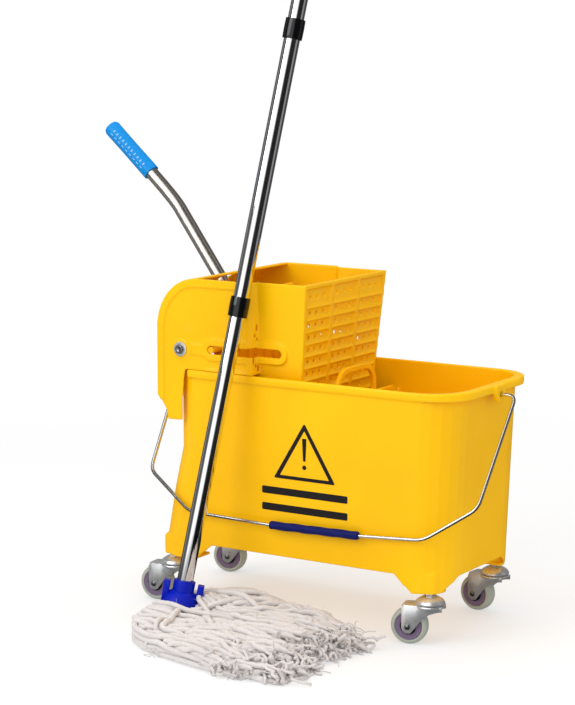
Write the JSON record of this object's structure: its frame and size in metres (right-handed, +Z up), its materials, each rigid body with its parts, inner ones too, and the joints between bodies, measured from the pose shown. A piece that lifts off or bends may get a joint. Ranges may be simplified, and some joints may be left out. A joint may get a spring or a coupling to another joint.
{
  "type": "mop bucket with wringer and mop",
  "caption": "Wheeled mop bucket with a lever wringer on one end, a wire bail, a lift-out baffle, and a string mop leaning on it.",
  "frame": {"origin": "bottom centre of the whole object's box, on the floor", "axes": "+Z up, +X along the bucket from the wringer towards the open end, +Y from the face the mop leans on towards the far side"},
  "size_m": [0.6688, 0.513, 1.2033],
  "materials": {
    "tub_yellow": "moulded, satin gloss",
    "wringer_yellow": "moulded, satin gloss",
    "baffle_yellow": "moulded, satin gloss",
    "press_yellow": "moulded, satin gloss",
    "chrome": "mirror chrome on steel tube",
    "zinc": "bright zinc plate",
    "steel": "plain steel",
    "wire": "bright drawn wire",
    "grip_blue": "moulded, satin",
    "grip_navy": "moulded, gloss",
    "socket_blue": "moulded, satin",
    "black": "moulded, gloss",
    "tyre": "grey rubber",
    "wheel_hub": "moulded, satin",
    "cotton": "twisted cotton yarn"
  },
  "bodies": {
    "tub": {"bucket_body": "tub_yellow", "wringer_body": "wringer_yellow", "pivot_bolt_front": "steel", "pivot_washer_front": "steel", "pivot_nut_front": "zinc", "return_spring_front": "steel", "pivot_bolt_back": "steel", "pivot_washer_back": "steel", "pivot_nut_back": "zinc", "return_spring_back": "steel", "caster_stem_front_right": "zinc", "caster_stem_back_right": "zinc", "caster_stem_back_left": "zinc", "caster_stem_front_left": "zinc"},
    "fork_front_right": {"caster_fork_front_right": "zinc", "caster_axle_front_right": "zinc"},
    "wheel_front_right": {"wheel_hub_front_right": "wheel_hub", "wheel_tyre_front_right": "tyre"},
    "fork_back_right": {"caster_fork_back_right": "zinc", "caster_axle_back_right": "zinc"},
    "wheel_back_right": {"wheel_hub_back_right": "wheel_hub", "wheel_tyre_back_right": "tyre"},
    "fork_back_left": {"caster_fork_back_left": "zinc", "caster_axle_back_left": "zinc"},
    "wheel_back_left": {"wheel_hub_back_left": "wheel_hub", "wheel_tyre_back_left": "tyre"},
    "fork_front_left": {"caster_fork_front_left": "zinc", "caster_axle_front_left": "zinc"},
    "wheel_front_left": {"wheel_hub_front_left": "wheel_hub", "wheel_tyre_front_left": "tyre"},
    "lever": {"lever_yoke": "press_yellow", "lever_tube": "chrome", "lever_screw": "zinc", "lever_grip": "grip_blue"},
    "press": {"press_plate": "press_yellow", "guide_rod": "press_yellow"},
    "baffle": {"dirt_baffle": "baffle_yellow"},
    "bail": {"bail_wire": "wire"},
    "bail_roller": {"bail_grip": "grip_navy"},
    "mop": {"mop_socket": "socket_blue", "mop_yarn": "cotton", "pole_lower": "chrome", "pole_middle": "chrome", "pole_upper": "chrome", "coupler_lower": "black", "coupler_upper": "black", "pole_cap": "black"}
  },
  "joints": [
    {"name": "swivel_front_right", "type": "hinge", "parent": "tub", "child": "fork_front_right", "pos_m": [0.25811, 0.03814, 0.053], "axis": [0, 0, 1], "continuous": true},
    {"name": "wheel_spin_front_right", "type": "hinge", "parent": "fork_front_right", "child": "wheel_front_right", "pos_m": [0.23128, 0.03166, 0.025], "axis": [-0.2351, 0.972, 0], "continuous": true},
    {"name": "swivel_back_right", "type": "hinge", "parent": "tub", "child": "fork_back_right", "pos_m": [0.25811, 0.22494, 0.053], "axis": [0, 0, 1], "continuous": true},
    {"name": "wheel_spin_back_right", "type": "hinge", "parent": "fork_back_right", "child": "wheel_back_right", "pos_m": [0.23068, 0.22802, 0.025], "axis": [0.1115, 0.9938, 0], "continuous": true},
    {"name": "swivel_back_left", "type": "hinge", "parent": "tub", "child": "fork_back_left", "pos_m": [-0.15309, 0.22494, 0.053], "axis": [0, 0, 1], "continuous": true},
    {"name": "wheel_spin_back_left", "type": "hinge", "parent": "fork_back_left", "child": "wheel_back_left", "pos_m": [-0.1801, 0.21925, 0.025], "axis": [-0.2062, 0.9785, 0], "continuous": true},
    {"name": "swivel_front_left", "type": "hinge", "parent": "tub", "child": "fork_front_left", "pos_m": [-0.15309, 0.03814, 0.053], "axis": [0, 0, 1], "continuous": true},
    {"name": "wheel_spin_front_left", "type": "hinge", "parent": "fork_front_left", "child": "wheel_front_left", "pos_m": [-0.18053, 0.03516, 0.025], "axis": [-0.108, 0.9942, 0], "continuous": true},
    {"name": "lever_press", "type": "hinge", "parent": "tub", "child": "lever", "pos_m": [-0.12249, 0.13154, 0.368], "axis": [0, -1, 0], "range_deg": [0, 50], "stiffness_Nm_per_rad": 3, "springref_deg": -34.38},
    {"name": "press_slide", "type": "slide", "parent": "tub", "child": "press", "axis": [1, 0, 0], "range_m": [0, 0.082]},
    {"name": "baffle_lift", "type": "slide", "parent": "tub", "child": "baffle", "axis": [0, 0, 1], "range_m": [0, 0.22]},
    {"name": "bail_swing", "type": "hinge", "parent": "tub", "child": "bail", "pos_m": [0.05251, 0.13154, 0.327], "axis": [-1, 0, 0], "range_deg": [0, 12]},
    {"name": "bail_grip_spin", "type": "hinge", "parent": "bail", "child": "bail_roller", "pos_m": [0.09801, 0.00513, 0.14099], "axis": [-0.9998, -0.0113, -0.0167], "continuous": true},
    {"name": "mop_lift", "type": "slide", "parent": "tub", "child": "mop", "axis": [0, -0.5, 0.866], "range_m": [0, 0.25]}
  ],
  "couplings": [
    {"joint": "press_slide", "follows": "lever_press", "m_per_rad": 0.0932}
  ]
}
